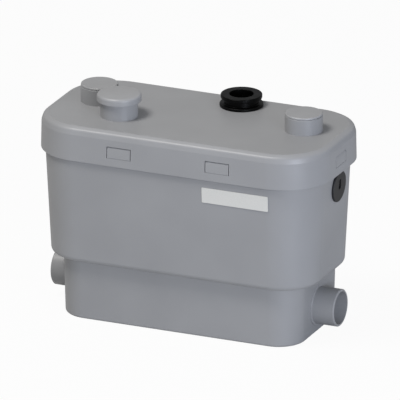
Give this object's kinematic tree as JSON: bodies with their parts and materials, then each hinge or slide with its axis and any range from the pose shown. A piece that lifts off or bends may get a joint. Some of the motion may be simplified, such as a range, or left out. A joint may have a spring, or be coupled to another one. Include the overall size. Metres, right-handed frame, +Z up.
{
  "type": "waste water lifting pump",
  "caption": "Boxed floor-standing waste pump: stepped tank under a lift-off lid, side and top pipe spigots, vent cap, rubber discharge collar, motor and impeller inside.",
  "frame": {"origin": "on the floor, under the middle of the lid", "axes": "+X to the end with the cable entry, +Y to the wall behind, +Z up; the front with the label plate faces -Y"},
  "size_m": [0.41, 0.206, 0.3083],
  "materials": {
    "body_plastic": "satin moulded ABS",
    "cap_plastic": "satin moulded ABS",
    "black_rubber": "moulded rubber",
    "filter_felt": "charcoal felt",
    "label_white": "satin film, blank",
    "grommet_plastic": "moulded polyamide",
    "deck_plastic": "moulded polypropylene",
    "pump_plastic": "glass-filled polypropylene",
    "pipe_plastic": "extruded pipe plastic",
    "capacitor_plastic": "moulded can",
    "block_plastic": "moulded terminal block",
    "zinc_steel": "zinc plated",
    "steel": "ground",
    "impeller_brass": "cast and turned",
    "lamination_steel": "stacked laminations",
    "winding_copper": "enamelled wire",
    "motor_aluminium": "die cast",
    "seal_ceramic": "sintered ring"
  },
  "bodies": {
    "tank_unit": {"tank": "body_plastic", "lid_seal": "black_rubber", "vent_tube": "pipe_plastic", "label_plate": "label_white", "cable_grommet": "grommet_plastic", "grommet_nut": "grommet_plastic", "deck_plate": "deck_plastic", "deck_seal": "black_rubber", "deck_screws": "zinc_steel", "left_drop_tube": "pipe_plastic", "right_drop_tube": "pipe_plastic", "left_inlet_seat": "pump_plastic", "left_flap_pin": "steel", "right_inlet_seat": "pump_plastic", "right_flap_pin": "steel", "discharge_elbow": "pipe_plastic", "check_valve_body": "pump_plastic", "discharge_riser": "pipe_plastic", "pump_column": "pump_plastic", "column_bush": "black_rubber", "volute_casing": "pump_plastic", "volute_screws": "zinc_steel", "suction_strainer": "pump_plastic", "shaft_seal": "seal_ceramic", "lower_bearing": "steel", "upper_bearing": "steel", "stator_core": "lamination_steel", "stator_windings": "winding_copper", "motor_housing": "motor_aluminium", "motor_end_cap": "motor_aluminium", "motor_buffers": "black_rubber", "motor_screws": "zinc_steel", "end_cap_screws": "zinc_steel", "capacitor": "capacitor_plastic", "capacitor_clip": "zinc_steel", "pressure_bell": "pipe_plastic", "switch_diaphragm": "black_rubber", "switch_cover": "pump_plastic", "microswitch": "pump_plastic", "terminal_box": "pump_plastic", "terminal_block": "block_plastic", "terminal_box_cover": "pump_plastic"},
    "lid_unit": {"lid": "body_plastic", "discharge_collar": "black_rubber", "vent_filter": "filter_felt"},
    "left_cap": {"left_blanking_cap": "cap_plastic"},
    "right_cap": {"right_blanking_cap": "cap_plastic"},
    "vent_top": {"vent_cap": "cap_plastic"},
    "rotor": {"motor_shaft": "steel", "rotor_core": "lamination_steel", "impeller": "impeller_brass", "impeller_screw": "steel"},
    "left_flap": {"left_inlet_flap": "black_rubber"},
    "right_flap": {"right_inlet_flap": "black_rubber"},
    "valve_ball": {"check_ball": "black_rubber"},
    "plunger": {"switch_plunger": "pipe_plastic"}
  },
  "joints": [
    {"name": "lid_lift", "type": "slide", "parent": "tank_unit", "child": "lid_unit", "axis": [0, 0, 1], "range_m": [0, 0.12]},
    {"name": "left_cap_pull", "type": "slide", "parent": "lid_unit", "child": "left_cap", "axis": [0, 0, 1], "range_m": [0, 0.03]},
    {"name": "right_cap_pull", "type": "slide", "parent": "lid_unit", "child": "right_cap", "axis": [0, 0, 1], "range_m": [0, 0.03]},
    {"name": "vent_cap_pull", "type": "slide", "parent": "lid_unit", "child": "vent_top", "axis": [0, 0, 1], "range_m": [0, 0.03]},
    {"name": "rotor_spin", "type": "hinge", "parent": "tank_unit", "child": "rotor", "pos_m": [-0.0137, -0.002, 0], "axis": [0, 0, 1], "continuous": true},
    {"name": "left_flap_swing", "type": "hinge", "parent": "tank_unit", "child": "left_flap", "pos_m": [-0.16143, 0, 0.06845], "axis": [0, -1, 0], "range_deg": [0, 60]},
    {"name": "right_flap_swing", "type": "hinge", "parent": "tank_unit", "child": "right_flap", "pos_m": [0.16143, 0, 0.06845], "axis": [0, 1, 0], "range_deg": [0, 60]},
    {"name": "valve_ball_rise", "type": "slide", "parent": "tank_unit", "child": "valve_ball", "axis": [0, 0, 1], "range_m": [0, 0.01]},
    {"name": "plunger_press", "type": "slide", "parent": "tank_unit", "child": "plunger", "axis": [0, 0, 1], "range_m": [0, 0.002]}
  ]
}
